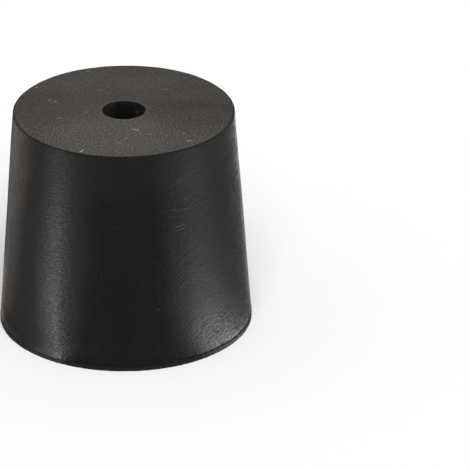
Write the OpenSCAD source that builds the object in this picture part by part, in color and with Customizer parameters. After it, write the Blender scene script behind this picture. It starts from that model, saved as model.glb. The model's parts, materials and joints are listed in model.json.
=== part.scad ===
// Tapered rubber stopper with one bore.
// It stands on its large end. The origin is the centre of the large end's face,
// and +Z runs up the bore to the small end.

/* [Body] */
// Diameter of the large end, at its rim
large_d = 45; // [30:0.5:80]
// Height between the two end faces
height = 40; // [20:0.5:60]
// Diameter that the side loses in each millimetre of height
taper = 0.15; // [0.05:0.01:0.25]
// Radius of the moulded edge round the small end
rim_r = 0.3; // [0.1:0.05:1]

/* [Bore] */
// Diameter of the bore, which grips a tube
bore_d = 7.6; // [3:0.1:12]

/* [Trimmed rim] */
// Height of the straight band that trimming leaves round the large end
band_h = 0.9; // [0.5:0.1:3]
// Width of the parting groove above the band
groove_w = 0.2; // [0.1:0.05:0.8]
// Depth of the parting groove, measured in from the side
groove_deep = 0.15; // [0.05:0.05:0.5]

/* [Hidden] */
$fn = 180;
rubber = [0.13, 0.125, 0.12];
bore_r = bore_d / 2;
large_r = large_d / 2;
// How far the side leans in from the vertical, in degrees
lean = atan(taper / 2);
// Number of straight steps in the arc of the small end's edge
rim_steps = 8;

// Radius of the tapered side at a height above the large face.
function side_r(z) = large_r - z * taper / 2;

// Points along an arc, from one angle to another, both ends included.
function arc(centre, r, from, to, steps) = [
    for (i = [0:steps])
        let (angle = from + (to - from) * i / steps)
            centre + r * [cos(angle), sin(angle)]
];

// The small end's edge: an arc that touches the side and the small face.
function rim_arc() =
    let (z = height - rim_r)
        arc([side_r(z) - rim_r / cos(lean), z], rim_r, lean, 90, rim_steps);

// Half of the moulding's section, cut along its axis. The outline runs up the
// straight band at the rim, which stands a little proud of the side, through the
// V-shaped parting groove, up the tapered side, over the small end's edge and
// down the bore's wall.
module section() {
    polygon([
        [bore_r, 0],
        [large_r, 0],
        [large_r, band_h],
        [side_r(band_h) - groove_deep, band_h + groove_w / 2],
        [side_r(band_h + groove_w), band_h + groove_w],
        each rim_arc(),
        [bore_r, height]
    ]);
}

// The whole stopper, one moulding: the section turned round the bore's axis.
module stopper() {
    color(rubber) rotate_extrude() section();
}

stopper();
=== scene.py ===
"""A tapered rubber stopper with one bore, standing on its large end on a pale bench."""

import json
from math import cos, pi, radians, sin

import bpy
import numpy as np
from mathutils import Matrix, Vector


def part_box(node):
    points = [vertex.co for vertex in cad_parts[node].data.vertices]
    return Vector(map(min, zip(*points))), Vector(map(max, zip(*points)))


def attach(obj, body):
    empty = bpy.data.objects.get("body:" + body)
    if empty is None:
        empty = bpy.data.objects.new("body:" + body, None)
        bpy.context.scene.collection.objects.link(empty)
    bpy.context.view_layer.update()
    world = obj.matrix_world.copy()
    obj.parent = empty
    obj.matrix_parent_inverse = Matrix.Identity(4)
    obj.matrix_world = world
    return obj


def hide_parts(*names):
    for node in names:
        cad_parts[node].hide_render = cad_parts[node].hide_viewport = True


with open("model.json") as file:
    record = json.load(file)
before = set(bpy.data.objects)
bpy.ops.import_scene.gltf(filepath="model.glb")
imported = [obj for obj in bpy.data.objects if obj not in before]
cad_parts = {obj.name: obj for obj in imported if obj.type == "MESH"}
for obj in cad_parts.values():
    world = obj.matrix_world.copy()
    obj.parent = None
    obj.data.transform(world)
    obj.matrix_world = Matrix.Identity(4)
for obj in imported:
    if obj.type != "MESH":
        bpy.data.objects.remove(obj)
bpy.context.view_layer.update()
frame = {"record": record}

# ---- Camera ------------------------------------------------------------------
# A long lens looks down at the stopper from in front. The stopper stands left of the
# middle of the view, so the camera aims to the right of its axis and above its foot.

MM = 0.001
LOOK_DOWN = radians(25.84)
DISTANCE = 847.8 * MM
AIM_RIGHT, AIM_UP = 19.51 * MM, 14.08 * MM

forward = Vector((0, cos(LOOK_DOWN), -sin(LOOK_DOWN)))
up = Vector((0, sin(LOOK_DOWN), cos(LOOK_DOWN)))
camera = bpy.data.objects.new("camera", bpy.data.cameras.new("camera"))
camera.data.sensor_width = 36
camera.data.lens = 362.3
camera.data.clip_start, camera.data.clip_end = 0.01, 20
camera.location = Vector((AIM_RIGHT, 0, 0)) + AIM_UP * up - DISTANCE * forward
camera.rotation_euler = (pi / 2 - LOOK_DOWN, 0, 0)
bpy.context.scene.collection.objects.link(camera)
bpy.context.scene.camera = camera

# ---- Rubber stopper: the form ------------------------------------------------
# One piece of black rubber, pressed in a mould. Both end faces are ground flat,
# and the flash round the large end is trimmed off, which leaves a rough band.

low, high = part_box("stopper")
LARGE_R = (high.x - low.x) / 2
HEIGHT = high.z - low.z
TAPER = 0.15              # diameter lost for each unit of height
BORE_R = frame["record"]["mounts"][0]["dims"]["r_mm"] * MM
RIM_R = 0.3 * MM          # moulded edge of the small end
RIM_GROUND = 0.05 * MM    # what the grinding took off that edge
BAND_H = 0.9 * MM
RUNS_LOW_AT = -68         # degrees to the right of the front, where the band was trimmed lowest
GROOVE_W = 0.2 * MM
GROOVE_DEEP = 0.15 * MM
LIP_H = 2.4 * MM          # up to here the side is uneven above the groove
FOOT_R = 0.08 * MM        # trimmed edge of the large end
MOUTH_R = 0.06 * MM       # edge of the bore's two mouths
AROUND = 960              # steps round the axis

# How far the wear moves the surface: the usual height of its waves, and its deepest nicks.
SIDE_WAVES = 0.02 * MM
SIDE_LUMPS = 0.016 * MM     # just above the groove
BAND_TOP_TORN = 0.045 * MM  # fine rise and fall of the band's top
BAND_TOP_WAVES = 0.05 * MM  # slow rise and fall of it
BAND_RUNS_LOW = 0.4 * MM    # how much lower it is where it runs lowest
BAND_TORN = 0.02 * MM
BAND_WAVES = 0.02 * MM
FOOT_TORN = 0.02 * MM
FOOT_NICK = 0.12 * MM
EDGE_WAVES = 0.015 * MM     # the ground edge of the small end
EDGE_NICK = 0.07 * MM
MOUTH_WAVES = 0.02 * MM     # the bore's two mouths
MOUTH_NICK = 0.14 * MM
BORE_WAVES = 0.015 * MM

# The finishes, in the order of the material slots.
SMALL_FACE, EDGE, SIDE, BAND, LARGE_FACE, BORE = range(6)


def side_radius(z):
    """The side's radius at a height: the large end's, less half the taper for each unit of height."""
    return LARGE_R - z * TAPER / 2


def run(start, end, steps, crowd=0.0):
    """Points on a straight line, without its end. A crowd above 0 draws them towards both ends, by
    taking from their even spacing a sine with one whole wave from start to end."""
    t = np.arange(steps) / steps
    t = t - crowd * np.sin(2 * pi * t) / (2 * pi)
    return np.outer(1 - t, start) + np.outer(t, end)


def turn(centre, radius, first, last, steps):
    """Points on an arc from one angle to another, in degrees, without its end."""
    a = np.radians(first + (last - first) * np.arange(steps) / steps)
    return np.array(centre) + radius * np.stack([np.cos(a), np.sin(a)], 1)


def outline():
    """The half section as rows of (radius, height), from the small end's bore mouth out over the
    small face, down the side and the band, in over the large face and up the bore to the start.
    Also gives the finish of the strip that starts at each row, and the rows with a crisp edge."""
    lean = np.arctan(TAPER / 2)
    rim_z = HEIGHT - RIM_R + RIM_GROUND
    rim_c = np.array([side_radius(rim_z) - RIM_R / np.cos(lean), rim_z])
    cut = np.arcsin((HEIGHT - rim_z) / RIM_R)
    rim_edge = rim_c + RIM_R * np.array([np.cos(cut), np.sin(cut)])
    side_top = rim_c + RIM_R * np.array([np.cos(lean), np.sin(lean)])
    lip = [side_radius(BAND_H + GROOVE_W), BAND_H + GROOVE_W]
    above_lip = [side_radius(LIP_H), LIP_H]
    root = [side_radius(BAND_H) - GROOVE_DEEP, BAND_H + GROOVE_W / 2]
    band_top = [LARGE_R, BAND_H]
    mouth = BORE_R + MOUTH_R
    strips = [  # the finish, whether the strip starts at a crisp edge, and its points
        (SMALL_FACE, False, run([mouth, HEIGHT], rim_edge, 12, crowd=0.6)),
        (EDGE, True, turn(rim_c, RIM_R, np.degrees(cut), np.degrees(lean), 7)),
        (SIDE, False, run(side_top, above_lip, 22, crowd=0.6)),
        (SIDE, False, run(above_lip, lip, 7)),
        (BAND, True, run(lip, root, 4)),
        (BAND, True, run(root, band_top, 4)),
        (BAND, True, run(band_top, [LARGE_R, FOOT_R], 12)),
        (BAND, False, turn([LARGE_R - FOOT_R, FOOT_R], FOOT_R, 0, -90, 3)),
        (LARGE_FACE, False, run([LARGE_R - FOOT_R, 0], [mouth, 0], 11, crowd=0.6)),
        (BORE, False, turn([mouth, MOUTH_R], MOUTH_R, 270, 180, 3)),
        (BORE, False, run([BORE_R, MOUTH_R], [BORE_R, HEIGHT - MOUTH_R], 14, crowd=0.7)),
        (BORE, False, turn([mouth, HEIGHT - MOUTH_R], MOUTH_R, 180, 90, 3)),
    ]
    finishes, is_crisp, lines = zip(*strips)
    lengths = [len(line) for line in lines]
    starts = np.cumsum([0] + lengths[:-1])
    return np.concatenate(lines), np.repeat(finishes, lengths), starts[np.array(is_crisp)]


def waves(angle, along, turns, pitch, count, seed):
    """A smooth random number at each point: a sum of cosines, each with a whole number of waves
    round the axis, a pitch along the section, a phase and a height. It closes on itself."""
    draw = np.random.default_rng(seed)
    total = np.zeros(np.broadcast(angle, along).shape)
    for _ in range(count):
        round_axis = draw.integers(turns[0], turns[1] + 1) * draw.choice([-1, 1])
        along_line = 2 * pi / draw.uniform(*pitch)
        total += draw.normal() * np.cos(round_axis * angle + along_line * along + draw.uniform(0, 2 * pi))
    return total / np.sqrt(count / 2)


def ring_waves(angle, turns, count, seed):
    """The same along one line round the axis, where only the angle counts."""
    return waves(angle, 0.0, turns, (1, 2), count, seed)


def near(value, centre, width):
    """1 at the centre, falling to 0 on both sides as a bell curve: e to the power of minus the square
    of the distance in widths."""
    return np.exp(-(((value - centre) / width) ** 2))


def nicks(angle, count, radius, size, seed):
    """Small cuts along an edge: bell curves at random angles, of random width and of depth up to 1."""
    draw = np.random.default_rng(seed)
    total = np.zeros_like(angle)
    for _ in range(count):
        off = (angle - draw.uniform(0, 2 * pi) + pi) % (2 * pi) - pi
        depth = draw.uniform(0.3, 1)
        total = np.maximum(total, depth * near(off * radius, 0, draw.uniform(0.5, 1.5) * size))
    return total


def worn(r, z, angle):
    """The turned form with its wear: the side is slightly wavy, the ground edges and the bore's mouths
    are uneven and nicked, and the band is torn, wavy and of uneven height. Each effect is waves or
    nicks, times how far they move the surface, times where on the section they are felt."""
    outside = r > 0.8 * LARGE_R
    swell = waves(angle, z, (2, 7), (18 * MM, 60 * MM), 14, 11)
    dr = SIDE_WAVES * swell * np.clip(z / (6 * MM), 0, 1) * outside

    # The band's top rises and falls and runs low on the left, its face is torn, and its foot is ragged.
    # The side bulges in small lumps just above it. Heights move by a share: none at the foot, all from
    # the band's top to just above the groove, and none again from LIP_H up.
    share = np.clip(z / BAND_H, 0, 1) * np.clip((LIP_H - z) / (LIP_H - BAND_H - GROOVE_W), 0, 1) * outside
    dz = BAND_TOP_TORN * ring_waves(angle, (20, 260), 60, 23) * share
    dz += BAND_TOP_WAVES * ring_waves(angle, (2, 12), 12, 29) * share
    dz -= BAND_RUNS_LOW * near(np.cos(angle - radians(RUNS_LOW_AT)), 1, 0.25) * share
    lumps = waves(angle, z, (60, 340), (0.5 * MM, 3 * MM), 90, 47)
    dr += SIDE_LUMPS * lumps * near(z, BAND_H + GROOVE_W + 0.2 * MM, 0.45 * MM) * outside
    face = np.clip(z / (0.1 * MM), 0, 1) * np.clip((BAND_H + GROOVE_W - z) / (0.2 * MM), 0, 1) * outside
    dr += BAND_TORN * waves(angle, z, (30, 400), (0.3 * MM, 3 * MM), 90, 31) * face
    dr += BAND_WAVES * ring_waves(angle, (3, 24), 12, 37) * face
    foot = near(z, 0, 0.12 * MM) * near(r, LARGE_R, 0.3 * MM)
    dr += FOOT_TORN * ring_waves(angle, (20, 200), 40, 41) * foot
    dr -= FOOT_NICK * nicks(angle, 9, LARGE_R, 0.3 * MM, 43) * foot

    # The ground edge of the small end wanders a little and has a few nicks.
    edge = near(z, HEIGHT, 0.1 * MM) * near(r, side_radius(HEIGHT), 0.5 * MM)
    dr += EDGE_WAVES * ring_waves(angle, (4, 60), 24, 53) * edge
    dr -= EDGE_NICK * nicks(angle, 7, LARGE_R, 0.25 * MM, 59) * edge

    # The bore is a little out of round, and its mouths have nicks where the pin pulled out.
    for height, seed in ((HEIGHT, 61), (0, 67)):
        mouth = near(z, height, 0.5 * MM) * near(r, BORE_R, 0.35 * MM)
        dr += MOUTH_WAVES * ring_waves(angle, (2, 14), 10, seed) * mouth
        dr += MOUTH_NICK * nicks(angle, 6, BORE_R, 0.16 * MM, seed + 1) * mouth
    dr += BORE_WAVES * waves(angle, z, (2, 9), (6 * MM, 30 * MM), 12, 71) * (r <= BORE_R)
    return r + dr, np.clip(z + dz, 0, HEIGHT)


# The worn outline goes round the axis. Each of its rows is a ring of points at radius times sine,
# minus radius times cosine, and height, with an angle that grows from the front to the right.
rows, finishes, crisp = outline()
row, step = np.meshgrid(np.arange(len(rows)), np.arange(AROUND), indexing="ij")
angle = step * (2 * pi / AROUND)
radius, height = worn(rows[row, 0], rows[row, 1], angle)
points = np.stack([radius * np.sin(angle), -radius * np.cos(angle), height], -1)
next_row, next_step = (row + 1) % len(rows), (step + 1) % AROUND
corners = [(row, step), (next_row, step), (next_row, next_step), (row, next_step)]
faces = np.stack([r * AROUND + s for r, s in corners], -1)

mesh = bpy.data.meshes.new("rubber_stopper")
mesh.from_pydata(points.reshape(-1, 3), [], faces.reshape(-1, 4))
mesh.polygons.foreach_set("material_index", np.repeat(finishes, AROUND).astype(np.int32))
mesh.polygons.foreach_set("use_smooth", np.ones(row.size, bool))
ends = np.empty(2 * len(mesh.edges), np.int32)
mesh.edges.foreach_get("vertices", ends)
end_rows = ends.reshape(-1, 2) // AROUND
ring = (end_rows[:, 0] == end_rows[:, 1]) & np.isin(end_rows[:, 0], crisp)
mesh.attributes.new("sharp_edge", "BOOLEAN", "EDGE").data.foreach_set("value", ring)
mesh.update()
stopper = bpy.data.objects.new("rubber_stopper", mesh)
bpy.context.scene.collection.objects.link(stopper)
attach(stopper, "root")
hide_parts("stopper")

# ---- Rubber stopper: the ground end faces ------------------------------------
# A grinding wheel cuts both ends flat. It leaves warm grey, matt rubber with a fine
# grain and faint cut lines, and dust and lint stick to it.


def add(tree, kind, inputs=(), **settings):
    """Adds a shader node. Each input is a socket to link or a plain value, by number or by name, and
    None leaves it as it is."""
    node = tree.nodes.new("ShaderNode" + kind)
    for name, value in settings.items():
        setattr(node, name, value)
    pairs = inputs.items() if isinstance(inputs, dict) else enumerate(inputs)
    for key, value in pairs:
        if isinstance(value, bpy.types.NodeSocket):
            tree.links.new(value, node.inputs[key])
        elif value is not None:
            node.inputs[key].default_value = value
    return node


def calc(tree, operation, *values, clamp=False):
    """One step of arithmetic on numbers."""
    return add(tree, "Math", values, operation=operation, use_clamp=clamp).outputs[0]


def fade(tree, value, start, end, low=0.0, high=1.0):
    """Goes smoothly from low to high as the value goes from start to end."""
    node = add(tree, "MapRange", [value, start, end, low, high], interpolation_type="SMOOTHSTEP")
    return node.outputs[0]


def between(tree, share, first, second):
    """A number part of the way from the first to the second."""
    return add(tree, "Mix", [share, None, first, second]).outputs[0]


def mix(tree, share, first, second):
    """A colour part of the way from the first to the second."""
    node = add(tree, "Mix", {0: share, 6: first, 7: second}, data_type="RGBA")
    return node.outputs[2]


def cloud(tree, place, size, detail=2.0, rough=0.5, tilt=(0, 0, 0), output="Fac"):
    """Soft random patches of that size along X, Y and Z, with these axes tilted. About 0.5 on the
    whole."""
    size = size if isinstance(size, (tuple, bpy.types.NodeSocket)) else (size,) * 3
    mapping = {"Vector": place, "Scale": size, "Rotation": tilt}
    unit = add(tree, "Mapping", mapping, vector_type="TEXTURE").outputs[0]
    inputs = {"Vector": unit, "Scale": 1.0, "Detail": detail, "Roughness": rough}
    return add(tree, "TexNoise", inputs).outputs[output]


def shaken(tree, place, size, detail, reach):
    """The place, moved along each axis by soft random patches of that size: by the reach, times how
    far the patch is from 0.5."""
    slow = cloud(tree, place, size, detail=detail, output="Color")
    shake = add(tree, "VectorMath", [slow, (0.5, 0.5, 0.5)], operation="SUBTRACT").outputs[0]
    shake = add(tree, "VectorMath", {0: shake, "Scale": reach}, operation="SCALE").outputs[0]
    return add(tree, "VectorMath", [place, shake], operation="ADD").outputs[0]


def new_group(name, inputs, outputs):
    """A shader node group with named number or vector inputs and number outputs."""
    group = bpy.data.node_groups.new(name, "ShaderNodeTree")
    for label, default in inputs.items():
        kind = "NodeSocketVector" if isinstance(default, tuple) else "NodeSocketFloat"
        group.interface.new_socket(label, in_out="INPUT", socket_type=kind).default_value = default
    for label in outputs:
        group.interface.new_socket(label, in_out="OUTPUT", socket_type="NodeSocketFloat")
    return group, group.nodes.new("NodeGroupInput").outputs, group.nodes.new("NodeGroupOutput").inputs


def use(tree, group, **inputs):
    """Places a group in a material. Returns its outputs."""
    node = tree.nodes.new("ShaderNodeGroup")
    node.node_tree = group
    for label, value in inputs.items():
        socket = node.inputs[label.replace("_", " ")]
        if isinstance(value, bpy.types.NodeSocket):
            tree.links.new(value, socket)
        else:
            socket.default_value = value
    return node.outputs


def build_grain():
    """Fine grain: random patches with two finer layers on them, each of half the size and of 0.6
    times the height. -1 to 1."""
    group, inside, out = new_group("rubber_grain", {"Place": (0, 0, 0), "Size": 0.25}, ["Height"])
    size = add(group, "CombineXYZ", [inside["Size"]] * 3).outputs[0]
    unit = add(group, "VectorMath", [inside["Place"], size], operation="DIVIDE").outputs[0]
    inputs = {"Vector": unit, "Scale": 1.0, "Detail": 2.0, "Roughness": 0.6}
    noise = add(group, "TexNoise", inputs).outputs["Fac"]
    group.links.new(fade(group, noise, 0.25, 0.75, -1.0, 1.0), out["Height"])
    return group


def build_streaks():
    """Short wavy streaks: patches that are long in two directions and thin in Z, tilted about Y,
    with their place shaken by slower patches. 0 to 1."""
    inputs = {"Place": (0, 0, 0), "Length": 2.0, "Width": 0.3, "Tilt": 0.0, "Waver": 0.5}
    group, inside, out = new_group("wipe_streaks", inputs, ["Height"])
    moved = shaken(group, inside["Place"], 2.6, 1.0, inside["Waver"])
    size = add(group, "CombineXYZ", [inside["Length"], inside["Length"], inside["Width"]]).outputs[0]
    tilt = add(group, "CombineXYZ", [0.0, inside["Tilt"], 0.0]).outputs[0]
    patches = cloud(group, moved, size, detail=1.5, tilt=tilt)
    group.links.new(fade(group, patches, 0.3, 0.7), out["Height"])
    return group


def build_lint():
    """Dust: in each cell of a random pattern a round speck, where the cell's own random number is
    under the share. Specks in different cells differ in size."""
    inputs = {"Place": (0, 0, 0), "Spacing": 2.0, "Share": 0.2, "Size": 0.12}
    group, inside, out = new_group("dust_specks", inputs, ["Mask"])
    size = add(group, "CombineXYZ", [inside["Spacing"]] * 3).outputs[0]
    unit = add(group, "VectorMath", [inside["Place"], size], operation="DIVIDE").outputs[0]
    cells = add(group, "TexVoronoi", {"Vector": unit, "Scale": 1.0}).outputs
    pick, vary, _ = add(group, "SeparateColor", [cells["Color"]]).outputs
    reach = calc(group, "MULTIPLY", inside["Size"], calc(group, "ADD", vary, 0.4))
    away = calc(group, "MULTIPLY", cells["Distance"], inside["Spacing"])
    speck = calc(group, "SUBTRACT", 1.0, calc(group, "DIVIDE", away, reach), clamp=True)
    kept = calc(group, "LESS_THAN", pick, inside["Share"])
    group.links.new(calc(group, "MULTIPLY", fade(group, speck, 0.0, 0.5), kept), out["Mask"])
    return group


def build_mark():
    """One straight mark: full on the line from start to end, falling to 0 a width away from it. The
    distance is from the nearest point of the line, which is held between its ends."""
    inputs = {"Place": (0, 0, 0), "Start": (0, 0, 0), "End": (1, 0, 0), "Width": 0.1, "Share": 1.0}
    group, inside, out = new_group("single_mark", inputs, ["Mask"])
    start = inside["Start"]
    from_start = add(group, "VectorMath", [inside["Place"], start], operation="SUBTRACT").outputs[0]
    whole = add(group, "VectorMath", [inside["End"], start], operation="SUBTRACT").outputs[0]
    along = add(group, "VectorMath", [from_start, whole], operation="DOT_PRODUCT").outputs["Value"]
    square = add(group, "VectorMath", [whole, whole], operation="DOT_PRODUCT").outputs["Value"]
    share = calc(group, "DIVIDE", along, square, clamp=True)
    foot = add(group, "VectorMath", {0: whole, "Scale": share}, operation="SCALE").outputs[0]
    away = add(group, "VectorMath", [from_start, foot], operation="DISTANCE").outputs["Value"]
    group.links.new(fade(group, away, 0.0, inside["Width"], inside["Share"], 0.0), out["Mask"])
    return group


grain, streaks, lint, mark = build_grain(), build_streaks(), build_lint(), build_mark()


def new_finish(name, **constants):
    """An empty material with constant shader values. Returns its tree, its shader and the object's
    coordinates in millimetres."""
    material = bpy.data.materials.new(name)
    material.use_nodes = True
    tree = material.node_tree
    shader = tree.nodes["Principled BSDF"]
    for label, value in constants.items():
        shader.inputs[label.replace("_", " ")].default_value = value
    stopper.data.materials.append(material)
    coordinates = add(tree, "TexCoord").outputs["Object"]
    place = add(tree, "VectorMath", {0: coordinates, "Scale": 1 / MM}, operation="SCALE").outputs[0]
    return tree, shader, place


def wire(tree, shader, **outputs):
    """Links sockets to the shader's inputs. Bump is a height in millimetres."""
    if "Bump" in outputs:
        bump = add(tree, "Bump", {"Height": outputs.pop("Bump"), "Distance": MM, "Strength": 1.0})
        outputs["Normal"] = bump.outputs[0]
    for label, socket in outputs.items():
        tree.links.new(socket, shader.inputs[label.replace("_", " ")])


def from_axis(tree, place):
    """Distance from the stopper's axis."""
    flat = add(tree, "VectorMath", [place, (1, 1, 0)], operation="MULTIPLY").outputs[0]
    return add(tree, "VectorMath", [flat], operation="LENGTH").outputs["Value"]


def largest(tree, masks):
    """The largest of several masks."""
    total = masks[0]
    for mask in masks[1:]:
        total = calc(tree, "MAXIMUM", total, mask)
    return total


LINT_COLOUR = (0.42, 0.41, 0.39, 1)
GROUND_DARK = (0.0101, 0.0079, 0.0048, 1)
GROUND_PALE = (0.1066, 0.0962, 0.0813, 1)


def ground_rubber(tree, place, tone, sparkle, cuts):
    """The colour, roughness and height that both ground faces have in common: a tone of 0 to 1 from
    dark to pale, changed by the grain, of which sparkle is the share, and by the wheel's cuts. A pale
    ring of burr goes round the bore."""
    fine = use(tree, grain, Place=place, Size=0.32)["Height"]
    coarse = use(tree, grain, Place=place, Size=0.8)["Height"]
    out = from_axis(tree, place)
    burr = fade(tree, out, BORE_R / MM + 0.1, BORE_R / MM + 1.0, 0.11, 0.0)
    tone = calc(tree, "ADD", tone, burr)
    tone = calc(tree, "MULTIPLY_ADD", fine, sparkle, tone)
    tone = calc(tree, "MULTIPLY_ADD", coarse, 0.07, tone)
    tone = calc(tree, "MULTIPLY_ADD", cuts, 0.07, tone)
    colour = mix(tree, tone, GROUND_DARK, GROUND_PALE)
    rough = calc(tree, "MULTIPLY_ADD", fine, 0.04, 0.88)
    height = calc(tree, "MULTIPLY", fine, 0.012)
    height = calc(tree, "MULTIPLY_ADD", cuts, 0.008, height)
    return colour, rough, height


# The small face is painted paler at the front and darker at the left and the right, the more so towards
# the front: painted light and shade. A thin line along the rim is painted darkest at both sides: painted
# shade.
tree, shader, place = new_finish("ground_small_face", Specular_IOR_Level=0.25)
x, y, _ = add(tree, "SeparateXYZ", [place]).outputs
front_painted_light = fade(tree, y, 3.0, -12.0)
left_face_shade = fade(tree, x, -7.0, -17.0)
right_face_shade = fade(tree, x, 2.0, 11.0)
patches = cloud(tree, place, (11.0, 8.0, 8.0), detail=3.0, rough=0.55)
# Painted light and shade: the tone is raised at the front and lowered at both sides.
tone = calc(tree, "MULTIPLY_ADD", front_painted_light, 0.26, fade(tree, patches, 0.3, 0.7, 0.26, 0.38))
painted_face_shade = calc(tree, "MULTIPLY", left_face_shade, fade(tree, y, 12.0, -14.0, 0.0, 0.22))
painted_face_shade = calc(tree, "MULTIPLY_ADD", right_face_shade, fade(tree, y, 15.0, -3.0, 0.0, 0.19), painted_face_shade)
tone = calc(tree, "SUBTRACT", tone, painted_face_shade)
small_r = side_radius(HEIGHT) / MM
# Painted shade: a dark line along the rim, darkest at both sides.
rim_shade_line = fade(tree, from_axis(tree, place), small_r - 0.5, small_r - 0.2)
rim_shade_ends = fade(tree, calc(tree, "ABSOLUTE", x), small_r - 3.0, small_r - 1.0, 0.06, 0.36)
tone = calc(tree, "SUBTRACT", tone, calc(tree, "MULTIPLY", rim_shade_line, rim_shade_ends))
sparkle = calc(tree, "MULTIPLY_ADD", front_painted_light, 0.48, 0.26)
sparkle = calc(tree, "MULTIPLY_ADD", right_face_shade, -0.06, sparkle)

# The wheel's cuts run left to right on the left half and front to back on the right half.
across = cloud(tree, place, (1.2, 0.4, 1.0), detail=1.0)
along = cloud(tree, place, (0.4, 1.2, 1.0), detail=1.0)
cuts = fade(tree, between(tree, fade(tree, x, -6.0, 6.0), across, along), 0.3, 0.7, -1.0, 1.0)
colour, rough, height = ground_rubber(tree, place, tone, sparkle, cuts)

top = HEIGHT / MM
hairs = [  # start X, Y and end X, Y of each hair or fleck, half its width and how much it shows
    (1.6, -7.9, 2.1, -8.2, 0.16, 0.6),
    (2.1, -8.2, 2.7, -8.5, 0.18, 1.0),
    (-7.1, -17.3, -6.7, -16.7, 0.2, 1.0),
    (-13.3, 4.0, -13.1, 4.3, 0.14, 1.0),
    (-12.2, 3.9, -12.0, 3.6, 0.14, 1.0),
    (-13.0, 4.8, -12.4, 4.8, 0.12, 0.35),
    (-12.9, 3.3, -12.4, 3.2, 0.12, 0.35),
    (-15.8, 9.7, -15.6, 9.9, 0.26, 0.35),
    (-11.7, -3.4, -10.8, -3.4, 0.16, 0.4),
    (10.5, -9.9, 10.8, -9.9, 0.18, 0.7),
    (11.1, -12.8, 12.0, -12.8, 0.18, 0.7),
    (9.6, -9.2, 9.8, -9.1, 0.14, 0.4),
    (0.5, -12.0, 0.7, -11.9, 0.2, 0.5),
    (-0.8, -13.8, -0.2, -13.6, 0.14, 0.5),
    (6.6, 8.9, 7.7, 9.0, 0.18, 0.25),
    (-4.6, 8.5, -4.2, 8.5, 0.2, 0.25),
    (-3.3, 10.4, -3.2, 10.5, 0.24, 0.3),
    (-6.9, 16.8, -6.7, 16.8, 0.2, 0.5),
    (-6.8, -0.8, -6.2, -0.7, 0.18, 0.25),
    (4.6, -10.1, 4.8, -10.1, 0.26, 0.3),
]
flecks = []
for x0, y0, x1, y1, width, share in hairs:
    ends_at = {"Start": (x0, y0, top), "End": (x1, y1, top), "Width": width, "Share": share}
    flecks.append(use(tree, mark, Place=place, **ends_at)["Mask"])
colour = mix(tree, largest(tree, flecks), colour, LINT_COLOUR)
wire(tree, shader, Base_Color=colour, Roughness=rough, Bump=height)

# ---- Rubber stopper: the rounded edge ----------------------------------------
# The moulded corner round the small end. Its colour is painted darker than both surfaces that it parts,
# as a painted dark line of shade along the rim. It is finely torn, and dullest where it is seen edgewise.

EDGE_SHADE_DARK = (0.0020, 0.0017, 0.0014, 1)
EDGE_SHADE_PALE = (0.0090, 0.0078, 0.0065, 1)

tree, shader, place = new_finish("rounded_edge", IOR=1.16)
torn = use(tree, grain, Place=place, Size=0.3)["Height"]
# Painted shade: both colours of the edge are kept very dark.
colour = mix(tree, fade(tree, torn, -0.6, 1.0), EDGE_SHADE_DARK, EDGE_SHADE_PALE)
rough = fade(tree, add(tree, "LayerWeight").outputs["Facing"], 0.48, 0.75, 0.45, 0.9)
rough = calc(tree, "MULTIPLY_ADD", torn, 0.08, rough)
wire(tree, shader, Base_Color=colour, Roughness=rough, Bump=calc(tree, "MULTIPLY", torn, 0.015))

# ---- Rubber stopper: the moulded side ----------------------------------------
# The mould's skin is black and satin, and it is painted greyer near the small end, a painted sheen. It is
# duller where it turns away and glossier again at its very edges. Small dimples make it sparkle, and
# handling has left wipe marks and scratches.

SKIN_BLACK = (0.0034, 0.0034, 0.0033, 1)
SKIN_GREY_AND_SHEEN = (0.0092, 0.0090, 0.0087, 1)
SCRATCH_GREY = (0.08, 0.08, 0.08, 1)
PIT_SHADE_BLACK = (0.001, 0.001, 0.001, 1)

tree, shader, place = new_finish("moulded_side", IOR=1.2)
x, y, z = add(tree, "SeparateXYZ", [place]).outputs

# The dimples are longer above and shorter below, strongest near the foot, and calm at the far left.
long_dimples = use(tree, streaks, Place=place, Length=0.78, Width=0.42, Tilt=-0.17, Waver=0.5)["Height"]
short_dimples = use(tree, streaks, Place=place, Length=0.64, Width=0.25, Tilt=-0.3, Waver=0.7)["Height"]
dimples = between(tree, fade(tree, z, 27.0, 21.0), long_dimples, short_dimples)
far_left = fade(tree, x, -20.5, -15.0, 0.3, 1.0)
calm = calc(tree, "MAXIMUM", far_left, fade(tree, y, 1.0, 8.0))
gain = calc(tree, "ADD", fade(tree, z, 33.0, 22.0, 0.85, 1.1), fade(tree, z, 8.0, 4.0, 0.0, 0.6))
gain = calc(tree, "MULTIPLY", gain, calm)
dimples = calc(tree, "MULTIPLY", calc(tree, "SUBTRACT", dimples, 0.5), gain)

# Long slanting wipe marks lie on the right.
wipes = use(tree, streaks, Place=place, Length=4.0, Width=0.5, Tilt=-0.6, Waver=2.0)["Height"]
wipes = calc(tree, "MULTIPLY", wipes, fade(tree, x, 2.0, 12.0))
wipes = calc(tree, "MULTIPLY", wipes, fade(tree, z, 28.0, 33.0, 1.0, 1.35))

# The gloss differs by angle, in patches, and with the dimples and wipe marks.
patches = fade(tree, cloud(tree, place, (4.0, 4.0, 7.0), detail=3.0, rough=0.6), 0.3, 0.7)
edgewise = add(tree, "LayerWeight").outputs["Facing"]
rough = fade(tree, edgewise, 0.19, 0.5, 0.262, 0.475)
rough = calc(tree, "SUBTRACT", rough, fade(tree, edgewise, 0.74, 0.9, 0.0, 0.17))
rough = calc(tree, "ADD", rough, calc(tree, "MULTIPLY_ADD", patches, 0.06, -0.03))
rough = calc(tree, "MULTIPLY_ADD", dimples, 0.22, rough)
rough = calc(tree, "MULTIPLY_ADD", wipes, 0.1, rough)

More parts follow.
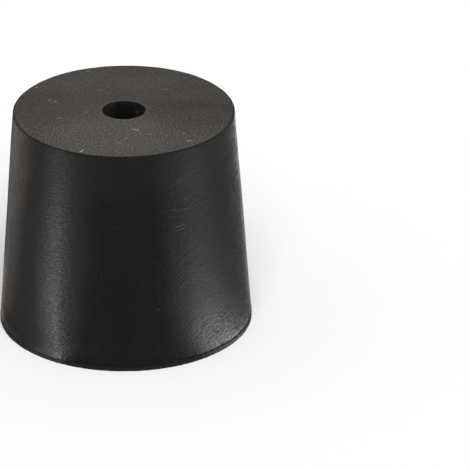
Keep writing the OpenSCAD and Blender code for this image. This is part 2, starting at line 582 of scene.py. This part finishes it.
# A dull ring runs round the left front near the foot. The lip of the groove is glossier.
front_left = fade(tree, calc(tree, "ADD", x, y), -8.0, -24.0, 0.25, 1.0)
front_left = calc(tree, "MULTIPLY", front_left, fade(tree, y, -2.0, -9.0))
dull_ring = calc(tree, "MULTIPLY", fade(tree, z, 1.8, 2.3), fade(tree, z, 5.2, 4.0))
dull_ring = calc(tree, "MULTIPLY", dull_ring, front_left)
rough = calc(tree, "MULTIPLY_ADD", dull_ring, 0.13, rough)
rough = calc(tree, "SUBTRACT", rough, fade(tree, z, 1.9, 1.6, 0.0, 0.05))

height = calc(tree, "MULTIPLY", dimples, 0.019)
height = calc(tree, "MULTIPLY_ADD", wipes, 0.011, height)
# Painted sheen: the skin's colour is made greyer near the small end.
top_painted_sheen = fade(tree, z, 29.0, 34.5)
tone = calc(tree, "MULTIPLY_ADD", top_painted_sheen, 0.65, calc(tree, "MULTIPLY_ADD", patches, 0.3, -0.05))
colour = mix(tree, tone, SKIN_BLACK, SKIN_GREY_AND_SHEEN)


def on_side(bearing, height):
    """A point on the side, in millimetres, from degrees to the right of the front and a height."""
    r = side_radius(height * MM) / MM
    return r * sin(radians(bearing)), -r * cos(radians(bearing)), height


scratches = [  # bearing and height of each end, half the width, and how much it shows
    (26.8, 26.0, 31.7, 26.1, 0.13, 0.65),
    (26.8, 25.3, 31.3, 25.5, 0.13, 0.7),
    (31.8, 25.5, 31.8, 26.1, 0.12, 0.12),
    (32.3, 30.8, 32.7, 30.8, 0.18, 0.8),
    (28.0, 34.3, 37.6, 35.4, 0.3, 0.15),
    (25.2, 33.7, 33.2, 34.7, 0.35, 0.12),
    (24.1, 29.3, 29.0, 29.0, 0.3, 0.15),
    (23.8, 28.1, 26.7, 28.0, 0.3, 0.15),
    (31.8, 28.9, 34.7, 28.9, 0.16, 0.4),
    # The next mark is a painted highlight just below the pit.
    (15.5, 11.1, 16.9, 11.3, 0.26, 0.2),
    (-4.6, 26.8, -1.5, 26.9, 0.2, 0.12),
    (-10.4, 18.4, -9.9, 17.3, 0.16, 0.15),
]
pale_marks = []
for bearing0, z0, bearing1, z1, width, share in scratches:
    ends_at = {"Start": on_side(bearing0, z0), "End": on_side(bearing1, z1), "Width": width, "Share": share}
    pale_marks.append(use(tree, mark, Place=place, **ends_at)["Mask"])
colour = mix(tree, largest(tree, pale_marks), colour, SCRATCH_GREY)

# One small pit is a dull dent, painted dark as painted shade; the pale mark just below it is a painted
# highlight.
pit_dent_and_shade = use(tree, mark, Place=place, Start=on_side(15.0, 11.75), End=on_side(17.2, 11.9), Width=0.34)["Mask"]
colour = mix(tree, pit_dent_and_shade, colour, PIT_SHADE_BLACK)
rough = calc(tree, "MULTIPLY_ADD", pit_dent_and_shade, 0.6, rough)
height = calc(tree, "MULTIPLY_ADD", pit_dent_and_shade, -0.04, height)
wire(tree, shader, Base_Color=colour, Roughness=rough, Bump=height)

# ---- Rubber stopper: the trimmed band ----------------------------------------
# Where the flash was trimmed off round the large end, the rubber is torn and brown-black, with small
# crumbs, and painted paler on the left, a painted sheen. A dark groove parts it from the moulded side.

TORN_DARK = (0.0055, 0.0042, 0.0036, 1)
TORN_PALE = (0.0235, 0.0185, 0.0158, 1)
CRUMB_AND_SHEEN_BROWN = (0.045, 0.035, 0.028, 1)

tree, shader, place = new_finish("trimmed_band", IOR=1.15)
x, _, z = add(tree, "SeparateXYZ", [place]).outputs
torn = use(tree, grain, Place=place, Size=0.3)["Height"]
crumbs = use(tree, lint, Place=place, Spacing=0.7, Share=0.3, Size=0.16)["Mask"]
# Darker towards the top; at the very foot it is painted darker, as painted shade.
tone = calc(tree, "MULTIPLY_ADD", torn, 0.3, fade(tree, z, BAND_H / MM, 0.1, 0.3, 0.95))
tone = calc(tree, "SUBTRACT", tone, fade(tree, z, 0.12, 0.0, 0.0, 0.4))
# Painted sheen: paler and browner on the left, under the side's left highlight.
left_painted_sheen = fade(tree, x, -10.0, -17.0, 0.0, 0.5)
colour = mix(tree, tone, TORN_DARK, TORN_PALE)
colour = mix(tree, largest(tree, [crumbs, left_painted_sheen]), colour, CRUMB_AND_SHEEN_BROWN)
rough = calc(tree, "MULTIPLY_ADD", torn, 0.08, 0.7)
wire(tree, shader, Base_Color=colour, Roughness=rough, Bump=calc(tree, "MULTIPLY", torn, 0.02))

# ---- Rubber stopper: the ground large face -----------------------------------
# The large end is ground in one direction, which leaves fine parallel lines. Round the bore
# the flow of the rubber in the mould shows as pale curled marks, and the face is paler along its rim.


def arc(tree, place, centre, radius, width, share, towards):
    """A thin arc on the large face, of that radius about its centre and twice that width. It is full
    on one side, a turn in degrees from +X towards +Y, and fades out on the other side."""
    a = radians(towards)
    off = add(tree, "VectorMath", [place, (*centre, 0)], operation="SUBTRACT").outputs[0]
    away = add(tree, "VectorMath", [off], operation="LENGTH").outputs["Value"]
    line = fade(tree, calc(tree, "ABSOLUTE", calc(tree, "SUBTRACT", away, radius)), 0.0, width, share, 0.0)
    side = add(tree, "VectorMath", [off, (cos(a), sin(a), 0)], operation="DOT_PRODUCT").outputs["Value"]
    return calc(tree, "MULTIPLY", line, fade(tree, side, -0.5 * radius, 0.4 * radius))


FLOW_PALE = (0.16, 0.145, 0.125, 1)
CUT_DARK = (0.012, 0.010, 0.008, 1)

tree, shader, place = new_finish("ground_large_face", Specular_IOR_Level=0.25)
x, _, _ = add(tree, "SeparateXYZ", [place]).outputs
large_r = LARGE_R / MM
cuts = fade(tree, cloud(tree, place, (7.0, 0.35, 1.0)), 0.35, 0.65, -1.0, 1.0)
patches = fade(tree, cloud(tree, place, 8.0, detail=3.0, rough=0.6), 0.3, 0.7, 0.33, 0.53)
tone = calc(tree, "ADD", patches, fade(tree, x, 2.0, 18.0, -0.03, 0.1))
tone = calc(tree, "ADD", tone, fade(tree, from_axis(tree, place), large_r - 0.9, large_r - 0.2, 0.0, 0.2))
tone = calc(tree, "MULTIPLY_ADD", cuts, 0.06, tone)
colour, rough, height = ground_rubber(tree, place, tone, 0.32, cuts)

# The curls are arcs round centres near the bore, drawn on a shaken place so that they waver.
moved = shaken(tree, place, 3.0, 2.0, 2.2)
moved = add(tree, "VectorMath", [moved, (1, 1, 0)], operation="MULTIPLY").outputs[0]
curls = [  # X and Y of each arc's centre, its radius, and the side on which it is full
    (3.5, 6.6, 3.1, 80),
    (-2.4, 5.4, 1.8, 110),
    (-4.9, 1.2, 1.9, 150),
    (-4.2, -5.4, 3.4, 215),
    (-2.1, -6.3, 1.9, 250),
    (0.6, -5.8, 1.6, 300),
    (5.6, -1.2, 2.6, 20),
    (7.1, 3.2, 2.4, 310),
    (-8.0, 4.4, 1.6, 60),
]
petals = [arc(tree, moved, (x, y), size, 0.34, 0.6, towards) for x, y, size, towards in curls]
petals.append(arc(tree, moved, (-0.2, 0.3), BORE_R / MM + 1.2, 0.5, 0.55, 140))

# Finer curls follow one level of a slow random height, and a pale bloom lies round the bore.
level = calc(tree, "ABSOLUTE", calc(tree, "SUBTRACT", cloud(tree, moved, 2.8, detail=1.0), 0.5))
from_middle = add(tree, "VectorMath", [place, (-1.6, -1.8, 0)], operation="DISTANCE").outputs["Value"]
near_bore = fade(tree, from_middle, 10.5, 5.0)
petals.append(calc(tree, "MULTIPLY", fade(tree, level, 0.0, 0.025, 0.55, 0.0), near_bore))
breaks = fade(tree, cloud(tree, place, 2.4), 0.32, 0.55)
bloom = calc(tree, "MULTIPLY", near_bore, fade(tree, cloud(tree, place, 1.6), 0.3, 0.7, 0.0, 0.32))
flow = calc(tree, "MAXIMUM", calc(tree, "MULTIPLY", largest(tree, petals), breaks), bloom)
colour = mix(tree, flow, colour, FLOW_PALE)
dust = use(tree, lint, Place=place, Spacing=2.2, Share=0.1, Size=0.13)["Mask"]
colour = mix(tree, calc(tree, "MULTIPLY", dust, 0.6), colour, LINT_COLOUR)

# One deep cut runs in from the rim.
cut_line = use(tree, mark, Place=place, Start=(19.6, 10.9, 0), End=(8.6, 4.2, 0), Width=0.14)["Mask"]
colour = mix(tree, calc(tree, "MULTIPLY", cut_line, 0.8), colour, CUT_DARK)
height = calc(tree, "MULTIPLY_ADD", cut_line, -0.05, height)
wire(tree, shader, Base_Color=colour, Roughness=rough, Bump=height)

# ---- Rubber stopper: the bore ------------------------------------------------
# A smooth steel pin formed the bore, so its wall is plain, black and slightly satin. Its left and right
# flanks are painted paler, a painted sheen, warmer on the left one.

BORE_BLACK = (0.0045, 0.0042, 0.0036, 1)
FLANK_SHEEN_GREY = (0.0165, 0.0160, 0.0150, 1)
FLANK_SHEEN_WARM = (0.022, 0.0175, 0.0140, 1)

tree, shader, place = new_finish("bore_wall", IOR=1.15)
x, _, _ = add(tree, "SeparateXYZ", [place]).outputs
fine = use(tree, grain, Place=place, Size=0.3)["Height"]
# Painted sheen on both flanks.
flank_painted_sheen = fade(tree, calc(tree, "ABSOLUTE", x), 1.0, 3.2, 0.1, 0.75)
tone = calc(tree, "MULTIPLY_ADD", fine, 0.2, flank_painted_sheen)
colour = mix(tree, tone, BORE_BLACK, mix(tree, fade(tree, x, -2.0, -2.8), FLANK_SHEEN_GREY, FLANK_SHEEN_WARM))
fleck = use(tree, mark, Place=place, Start=(2.2, 3.1, 38.3), End=(2.3, 3.05, 38.2), Width=0.2)["Mask"]
colour = mix(tree, calc(tree, "MULTIPLY", fleck, 0.2), colour, LINT_COLOUR)
rough = calc(tree, "MULTIPLY_ADD", fine, 0.05, 0.6)
wire(tree, shader, Base_Color=colour, Roughness=rough, Bump=calc(tree, "MULTIPLY", fine, 0.004))

# ---- Bench -------------------------------------------------------------------
# A wide, plain, pale bench top. It looks white by itself, keeps the stopper's shadow, and throws less
# light back than it seems to. Painted pools of lamp light, where the bench itself glows, and painted shade,
# where it is darker, lie on it at the sides and the rear, and show only in the gloss of the black rubber.

BENCH_HALF = 3.0                    # half its width, in metres
BENCH_GREY = (0.45, 0.45, 0.45, 1)  # its colour for the light that it throws back
WARM = (1.0, 0.82, 0.72, 1)
WHITE = (1, 1, 1, 1)
BLACK = (0, 0, 0, 1)


def bell(tree, value, middle, width):
    """1 at the middle, falling to 0 on both sides as a bell curve: e to the power of minus the square
    of the distance in widths."""
    off = calc(tree, "DIVIDE", calc(tree, "SUBTRACT", value, middle), width)
    return calc(tree, "EXPONENT", calc(tree, "MULTIPLY", calc(tree, "MULTIPLY", off, off), -1.0))


def seen(tree):
    """1 for what the camera sees directly, mirrored or through glass, and 0 for light that spreads."""
    path = add(tree, "LightPath").outputs
    either = calc(tree, "MAXIMUM", path["Is Camera Ray"], path["Is Glossy Ray"])
    return calc(tree, "MAXIMUM", either, path["Is Transmission Ray"])


def bearing_from(tree, spot, x, y):
    """Degrees to the right of the front, as seen from a point of the bench in millimetres."""
    off = add(tree, "VectorMath", [spot, (x, y, 0)], operation="SUBTRACT").outputs[0]
    part = add(tree, "SeparateXYZ", [off]).outputs
    return calc(tree, "DEGREES", calc(tree, "ARCTAN2", part[0], calc(tree, "MULTIPLY", part[1], -1.0)))


def sector(tree, bearing, start, full, still_full, end):
    """1 between two bearings and 0 outside them: it rises from start to full and falls from
    still_full to end."""
    return calc(tree, "MULTIPLY", fade(tree, bearing, start, full), fade(tree, bearing, end, still_full))


bench_mesh = bpy.data.meshes.new("bench")
square = [(-1, -1), (1, -1), (1, 1), (-1, 1)]
bench_mesh.from_pydata([(x * BENCH_HALF, y * BENCH_HALF, 0) for x, y in square], [], [(0, 1, 2, 3)])
bench = bpy.data.objects.new("bench", bench_mesh)
bpy.context.scene.collection.objects.link(bench)

# Only glossy rays find the pools of light, so the bench isn't sampled as a lamp.
material = bpy.data.materials.new("pale_bench")
material.use_nodes = True
material.cycles.emission_sampling = "NONE"
tree = material.node_tree
shader = tree.nodes["Principled BSDF"]
shader.inputs["Specular IOR Level"].default_value = 0.0
shader.inputs["Roughness"].default_value = 1.0
coordinates = add(tree, "TexCoord").outputs["Object"]
spot = add(tree, "VectorMath", {0: coordinates, "Scale": 1 / MM}, operation="SCALE").outputs[0]
away = add(tree, "VectorMath", [spot], operation="LENGTH").outputs["Value"]

# Bearings of each spot on the bench, from the points that the pools of light fan out from.
left = bearing_from(tree, spot, -10.1, -19.1)
right = bearing_from(tree, spot, 0.2, -4.0)
behind = bearing_from(tree, spot, -19.0, -5.0)
about = bearing_from(tree, spot, 0.0, 0.0)

# Each painted pool of light fills a sector of the bench, and its strength goes with the distance from the
# axis. The left lamp's pool has a bright core with clear sides and a soft spill round it, and the
# right lamp's pool is soft all over. Far out, all of them fade away.
WARM_SECTOR = (-154.0, -136.0, -124.0, -110.0)
pools = [  # whose bearing counts, the sector, two distances and the strength at each
    (left, (-99.3, -69.4, -67.3, -60.0), (117.6, 59.5), (1.4, 9.9)),   # core of the left lamp's pool
    (right, (26.6, 66.5, 66.1, 103.4), (140.0, 40.0), (2.04, 4.26)),   # the right lamp's pool
    (behind, WARM_SECTOR, (40.0, 100.0), (0.5, 1.7)),                  # a warm one at the left rear
    (about, (128.0, 145.0, 165.0, 178.0), (60.0, 105.0), (0.0, 0.8)),  # a faint one at the right rear
    (about, (-54.0, -41.0, -36.0, -26.0), (29.0, 24.5), (0.0, 3.4)),   # small, by the foot, on the left
    (right, (44.0, 56.0, 66.0, 86.0), (47.0, 34.0), (0.0, 6.0)),       # small, by the foot, on the right
]
glow = calc(tree, "MULTIPLY", bell(tree, left, -59.4, 24.0), 1.95)  # the left pool's spill
for bearing, edges, distances, strengths in pools:
    pool = calc(tree, "MULTIPLY", sector(tree, bearing, *edges), fade(tree, away, *distances, *strengths))
    glow = calc(tree, "ADD", glow, pool)
glow = calc(tree, "MULTIPLY", glow, fade(tree, away, 260.0, 160.0))

# Painted shade, seen only in the gloss: the bench is darker at the left, at the right and behind the warm
# pool.
gloss_only = add(tree, "LightPath").outputs["Is Glossy Ray"]
left_painted_shade = calc(tree, "MULTIPLY", bell(tree, about, -92.0, 33.8), 0.6)
right_painted_shade = calc(tree, "MULTIPLY", bell(tree, about, 100.0, 28.0), 0.35)
rear_painted_shade = sector(tree, behind, -180.0, -172.0, -155.0, -135.0)
rear_painted_shade = calc(tree, "MULTIPLY", rear_painted_shade, fade(tree, away, 28.0, 45.0, 0.0, 0.85))
painted_gloss_shade = calc(tree, "MULTIPLY", largest(tree, [left_painted_shade, right_painted_shade, rear_painted_shade]), gloss_only)
warm = sector(tree, behind, *WARM_SECTOR)
colour = mix(tree, seen(tree), BENCH_GREY, WHITE)
# Seen only in the gloss, the bench is tinted warm at the left rear: a painted reflection.
colour = mix(tree, calc(tree, "MULTIPLY", warm, gloss_only), colour, WARM)
colour = mix(tree, painted_gloss_shade, colour, BLACK)
tree.links.new(colour, shader.inputs["Base Color"])
tree.links.new(mix(tree, warm, WHITE, WARM), shader.inputs["Emission Color"])
tree.links.new(calc(tree, "MULTIPLY", glow, gloss_only), shader.inputs["Emission Strength"])
bench.data.materials.append(material)

# ---- Light -------------------------------------------------------------------
# A broad soft lamp stands high in front, and pale surroundings fill the shadows. Upright
# light panels, one on each side and one at the left rear, show only in the gloss.

# The surroundings look white, and light the stopper at two fifths of that.
world = bpy.data.worlds.new("pale_room")
bpy.context.scene.world = world
world.use_nodes = True
tree = world.node_tree
strength = calc(tree, "MULTIPLY_ADD", seen(tree), 0.6, 0.4)
tree.links.new(strength, tree.nodes["Background"].inputs["Strength"])
tree.nodes["Background"].inputs["Color"].default_value = WHITE

sun = bpy.data.objects.new("soft_lamp", bpy.data.lights.new("soft_lamp", "SUN"))
sun.data.energy = 2.5
sun.data.angle = radians(45)
sun.rotation_euler = Vector((0.15, -0.8, 1)).to_track_quat("Z", "Y").to_euler()
bpy.context.scene.collection.objects.link(sun)


def panel(name, bearing, distance, width, tall, strength):
    """An upright light panel that faces the stopper from a bearing, in degrees to the right of the
    front, with its lower edge on the bench. Its distance and sizes are in metres."""
    a = radians(bearing)
    middle = np.array([sin(a), -cos(a), 0]) * distance
    across = np.array([cos(a), sin(a), 0]) * width / 2
    rise = np.array([0, 0, tall])
    corners = [middle - across, middle + across, middle + across + rise, middle - across + rise]
    panel_mesh = bpy.data.meshes.new(name)
    panel_mesh.from_pydata(corners, [], [(0, 1, 2, 3)])
    lamp = bpy.data.objects.new(name, panel_mesh)
    bpy.context.scene.collection.objects.link(lamp)
    lit = bpy.data.materials.new(name)
    lit.use_nodes = True
    lit_shader = lit.node_tree.nodes["Principled BSDF"]
    lit_shader.inputs["Base Color"].default_value = BLACK
    lit_shader.inputs["Emission Color"].default_value = WHITE
    lit_shader.inputs["Emission Strength"].default_value = strength
    panel_mesh.materials.append(lit)
    lamp.visible_camera = False
    lamp.visible_diffuse = False
    lamp.visible_shadow = False
    lamp.visible_transmission = False


panel("left_panel", -66, 0.45, 0.16, 0.4, 7.0)
panel("right_panel", 72, 0.45, 0.2, 0.4, 4.0)
panel("back_panel", -150, 0.45, 0.2, 0.4, 2.0)

bpy.context.scene.view_settings.view_transform = "Standard"
